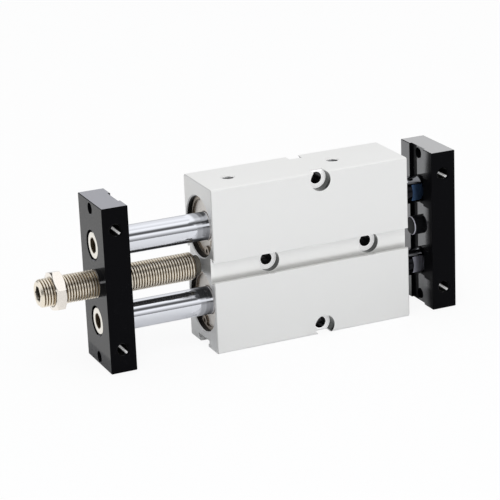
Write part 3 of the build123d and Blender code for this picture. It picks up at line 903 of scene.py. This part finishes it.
# End plates
# Milled aluminium, black anodised; the broad faces and ends are smooth and mirror the bolt
# and the room, most of all at a slant, and the narrow sides stay a plain deep black.
plate_front_to_rear = (-60, 30)
plate_painted_sheen_front = (0.30, 0.302, 0.335)
plate_painted_sheen_rear = (0.44, 0.44, 0.445)
plate_rod_half = 5.3
plate_shaded_near = (-5.0, -10.5)
plate_shaded_middle = 3.1
plate_shaded_half = 1.96
plate_coat_shaded = 0.96
plate_coat_outer = 0.36
plate_coat_ends = 0.5
plate_coat_least = 0.004
plate_thread_open = 0.75


def plate_material():
    """Black anodising; its clear top layer shows on the broad faces and the two ends.

    At a slant the two ends are painted grey as a sheen, lighter on the rear plate. On the
    inner faces the layer is turned down near the rods, at the near edge and in a band beside
    the middle, as painted shade and dark reflection.
    """
    material, tree, shader = finish("black_anodising", (0.0035, 0.0035, 0.0045),
                                    (0.0028, 0.0028, 0.0033), (0.3, 0.42), metallic=0.0, scale=2400,
                                    bump=0.06, specular=0.02)
    shader.inputs["Coat Roughness"].default_value = 0.07
    shader.inputs["Coat IOR"].default_value = 2.4
    x, y, z = object_place(tree)
    slant = tree.nodes.new("ShaderNodeLayerWeight")
    slant.inputs["Blend"].default_value = 0.5
    sheen = tree.nodes.new("ShaderNodeMapRange")
    sheen.interpolation_type = "SMOOTHSTEP"
    sheen.inputs["From Min"].default_value = 0.3
    sheen.inputs["From Max"].default_value = 0.7
    tree.links.new(slant.outputs["Facing"], sheen.inputs["Value"])
    # Painted sheen: at a slant the two ends turn grey in their base colour, lighter on the rear plate
    ends = flat_on(tree, "Z")
    painted_sheen_colour = mixed(tree, stepped(tree, x, *plate_front_to_rear), plate_painted_sheen_front, plate_painted_sheen_rear)
    recoloured(tree, shader, times(tree, ends, sheen.outputs[0]), painted_sheen_colour)

    # Painted shade and dark reflection: on the inner faces the clear layer is turned down near the rods,
    # towards the near edge and in a band beside the middle
    inner = worked(tree, "LESS_THAN", times(tree, x, normal_of(tree)[0]), 0.0)
    beside_rod = times(tree,
                       within(tree, worked(tree, "ABSOLUTE", z), rod_height * MM, plate_rod_half * MM),
                       worked(tree, "LESS_THAN", y, 0.0))
    shaded_inner = worked(tree, "MAXIMUM", stepped(tree, y, *plate_shaded_near), beside_rod)
    shaded_inner = worked(tree, "MAXIMUM", shaded_inner, within(tree, y, plate_shaded_middle * MM, plate_shaded_half * MM))
    inner_coat = times(tree, inner, opposite(tree, times(tree, inner, shaded_inner, plate_coat_shaded)))
    outer_coat = times(tree, opposite(tree, inner), plate_coat_outer)
    coat = times(tree, flat_on(tree, "X"), worked(tree, "ADD", outer_coat, inner_coat))
    coat = worked(tree, "MAXIMUM", coat, times(tree, ends, plate_coat_ends))
    tree.links.new(worked(tree, "MAXIMUM", coat, plate_coat_least), shader.inputs["Coat Weight"])
    return material


black_anodising = plate_material()
# Black threads of the side holes in the plates, with a painted highlight: on a narrow strip of the wall
# their crests are white and glow
dark_thread, tree, shader = finish("dark_thread", (0.006, 0.006, 0.006), (0.004, 0.004, 0.004),
                                   (0.25, 0.35), metallic=0.0, scale=2000, specular=0.1)
open_thread = worked(tree, "LESS_THAN", own_value(tree, "groove"), plate_thread_open)
bright = times(tree, own_value(tree, "painted_glint"), open_thread)
recoloured(tree, shader, bright, (1.0, 1.0, 1.0))
glowing(tree, shader, bright, (0.5, 0.5, 0.5))
for end in ("front", "rear"):
    dressed(f"{end}_plate", black_anodising, 0)
    tapped_lining(f"{end}_plate_threads", mounts_named(f"{end}_plate_side"), dark_thread, "carriage")

# Plate screws
# Socket-head screws of nickel-plated steel. Their heads are sunk in the plates, and they are
# screwed into the ends of the rods.
screw_broken_edge = 0.1 * MM
screw_socket = (2.9, 2.8)
screw_socket_shade_colour = (0.34, 0.29, 0.22)
screw_nickel, tree, shader = finish("screw_nickel", (0.86, 0.83, 0.76), (0.76, 0.73, 0.66),
                                    (0.16, 0.28), metallic=1.0, scale=1400)
# Painted shade: the hexagon socket is darker and browner
socket = stepped(tree, round_axis(tree, (0, 0, rod_height), along_x)[0], *screw_socket)
recoloured(tree, shader, socket, screw_socket_shade_colour)
changed(tree, shader, "Roughness", socket, 0.32)
for end in ("front", "rear"):
    for level in ("upper", "lower"):
        dressed(f"{end}_screw_{level}", screw_nickel, screw_broken_edge)

# Stop bolt
# A headless steel bolt, M10 with a fine pitch of 1 mm, warm nickel plated, with a hexagon
# socket outside and a hole for the pad's stem inside.
bolt_low, bolt_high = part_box("stop_bolt")
bolt_radius = bolt_high.y
bolt_pitch = 1.0 * MM
bolt_thread_depth = 0.58 * MM
bolt_end_chamfer = 0.8 * MM
bolt_plain_end = 0.5 * MM
bolt_plain_height = 0.25 * MM
bolt_plain_tip = 0.3 * MM
bolt_socket = 5.0 * MM
bolt_socket_depth = 6.0 * MM
bolt_socket_chamfer = 0.2 * MM
bolt_drill_point = 1.0 * MM
bolt_stem_hole = 2.05 * MM
bolt_stem_depth = 4.5 * MM
bolt_sides = 72
bolt_merge = 1e-7
bolt_groove = (4.78, 4.4)
bolt_groove_shade_colour = (0.26, 0.2, 0.125)
# Angles and levels of the bolt's painted reflection, round the bolt, as for the rods
bolt_mirrored = ((-90, 0.015), (14, 0.015), (17, 0.9), (22, 0.9), (25, 0.015), (179, 0.015))


def ring_stack(name, rings, sides, material, body):
    """Surface through rings about the X axis: ring k gives x and radius at every angle.

    rings is (rows, sides, 2), x and radius; a point is (x, r cos a, r sin a). A first or last
    ring of radius 0 closes to one point.
    """
    rings = np.asarray(rings)
    angle = np.arange(sides) * 2 * np.pi / sides
    x, radius = rings[..., 0], rings[..., 1]
    points = np.stack([x, radius * np.cos(angle), radius * np.sin(angle)], -1).reshape(-1, 3)
    row = np.arange(len(rings) - 1)[:, None]
    side = np.arange(sides)[None, :]
    after, beside = row + 1, (side + 1) % sides
    quads = np.stack([row * sides + side, after * sides + side,
                      after * sides + beside, row * sides + beside], -1)
    mesh = bpy.data.meshes.new(name)
    mesh.from_pydata(points.tolist(), [], quads.reshape(-1, 4).tolist())
    return new_piece(name, mesh, material, body, sharp=40, merge=bolt_merge)


def thread_rings(x_from, x_to, crest, depth, pitch, sides, limit):
    """Rings of a right-hand thread: rows follow the helix, and its ends are clipped.

    Along one pitch the radius is flat at the crest, falls to the root, stays there and rises
    again; limit(x) is the largest radius allowed at x, as on a chamfered end. It starts two
    turns early and runs on past the end, so that every angle is covered.
    """
    section = np.array([(0.0, 0.0), (0.36, 0.0), (0.58, 1.0), (0.70, 1.0), (0.92, 0.0)])
    turns = int(round((x_to - x_from) / pitch)) + 3
    shift = (np.arange(sides) / sides)[None, :]
    start = (np.arange(turns)[:, None] + section[None, :, 0]).reshape(-1, 1)
    fall = np.tile(section[:, 1], turns).reshape(-1, 1)
    x = x_from + pitch * (start + shift - 2)
    radius = crest - depth * fall + 0 * shift
    x = np.clip(x, x_from, x_to)
    return np.stack([x, np.minimum(radius, limit(x))], -1)


def hexagon_radius(flat, sides):
    """Distance from the axis to a hexagon's side, at each angle; two corners lie along Y."""
    angle = np.arange(sides) * 2 * np.pi / sides
    return flat / 2 / np.cos((angle % (np.pi / 3)) - np.pi / 6)


def flat_ring(x, radius, sides):
    """Ring of one x, with one radius or one for each angle."""
    return np.stack([np.full(sides, x), np.broadcast_to(radius, sides)], -1)[None]


def bolt_limit(x):
    """Chamfer cones at both ends; the crest is turned down a little at the plain outer end."""
    from_head = x - bolt_low.x
    from_tip = bolt_high.x - x
    corner = bolt_radius - bolt_end_chamfer
    root = bolt_radius - bolt_thread_depth
    plain = np.where(from_head < bolt_plain_end, root + bolt_plain_height, bolt_radius)
    return np.minimum.reduce([corner + from_head, corner + from_tip, plain])


warm_nickel, tree, shader = finish("warm_nickel", (0.90, 0.83, 0.71), (0.80, 0.73, 0.61),
                                   (0.26, 0.36), metallic=1.0, scale=1600)
# Painted shade: between its plain ends the thread is darker and browner towards the roots
threaded = within(tree, object_place(tree)[0], (bolt_low.x + bolt_plain_end + bolt_high.x) / 2,
                  (bolt_high.x - bolt_low.x - bolt_plain_end) / 2 - bolt_plain_tip)
grooved = stepped(tree, round_axis(tree, (0, 0, 0), along_x)[0], *bolt_groove)
recoloured(tree, shader, times(tree, threaded, grooved), bolt_groove_shade_colour)
# Painted reflection: as seen in mirrors, the bolt glows with the levels given for it
painted_reflection(tree, shader, ramp_of(tree, round_rod(tree, 0.0)[0], bolt_mirrored))
bolt_corner = bolt_radius - bolt_end_chamfer
bolt_hexagon = hexagon_radius(bolt_socket, bolt_sides)
bolt_rings = np.concatenate([
    flat_ring(bolt_high.x - bolt_stem_depth, 0.0, bolt_sides),
    flat_ring(bolt_high.x - bolt_stem_depth, bolt_stem_hole, bolt_sides),
    flat_ring(bolt_high.x, bolt_stem_hole, bolt_sides),
    flat_ring(bolt_high.x, bolt_corner, bolt_sides),
    thread_rings(bolt_low.x, bolt_high.x, bolt_radius, bolt_thread_depth, bolt_pitch, bolt_sides,
                 bolt_limit)[::-1],
    flat_ring(bolt_low.x, bolt_corner, bolt_sides),
    flat_ring(bolt_low.x, bolt_hexagon + bolt_socket_chamfer, bolt_sides),
    flat_ring(bolt_low.x + bolt_socket_chamfer, bolt_hexagon, bolt_sides),
    flat_ring(bolt_low.x + bolt_socket_depth, bolt_hexagon, bolt_sides),
    flat_ring(bolt_low.x + bolt_socket_depth + bolt_drill_point, 0.0, bolt_sides),
])
stop_bolt = ring_stack("stop_bolt_threaded", bolt_rings, bolt_sides, warm_nickel, "stop_bolt")
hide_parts("stop_bolt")

# Stop pad and rear bumper
# Two moulded rubber buttons: a brownish one at the tip of the stop bolt, and a black one on
# the rear plate, whose rounded rim is painted light grey as a highlight.
bumper_rim_highlight = (0.62, 0.62, 0.70)
pad_rubber = finish("pad_rubber", (0.115, 0.105, 0.085), (0.085, 0.078, 0.062), (0.45, 0.6),
                    metallic=0.0, scale=2200, bump=0.3)[0]
bumper_rubber, tree, shader = finish("bumper_rubber", (0.006, 0.006, 0.007), (0.004, 0.004, 0.005),
                                     (0.4, 0.5), metallic=0.0, scale=2200, specular=0.15)
# Painted highlight: the bumper's rounded rim is light grey
rounded_rim = within(tree, worked(tree, "ABSOLUTE", normal_of(tree)[0]), 0.62, 0.25)
recoloured(tree, shader, rounded_rim, bumper_rim_highlight)
dressed("stop_pad", pad_rubber, 0)
dressed("rear_bumper", bumper_rubber, 0)

# Lock nut
# A thin hexagon nut of steel, bright nickel plated. It runs on the thread of the stop bolt
# and locks it against the front plate.
nut_broken_edge = 0.12 * MM
bright_nickel = finish("bright_nickel", (0.93, 0.88, 0.81), (0.86, 0.80, 0.72), (0.12, 0.22),
                       metallic=1.0, scale=1200)[0]
dressed("lock_nut", bright_nickel, nut_broken_edge)
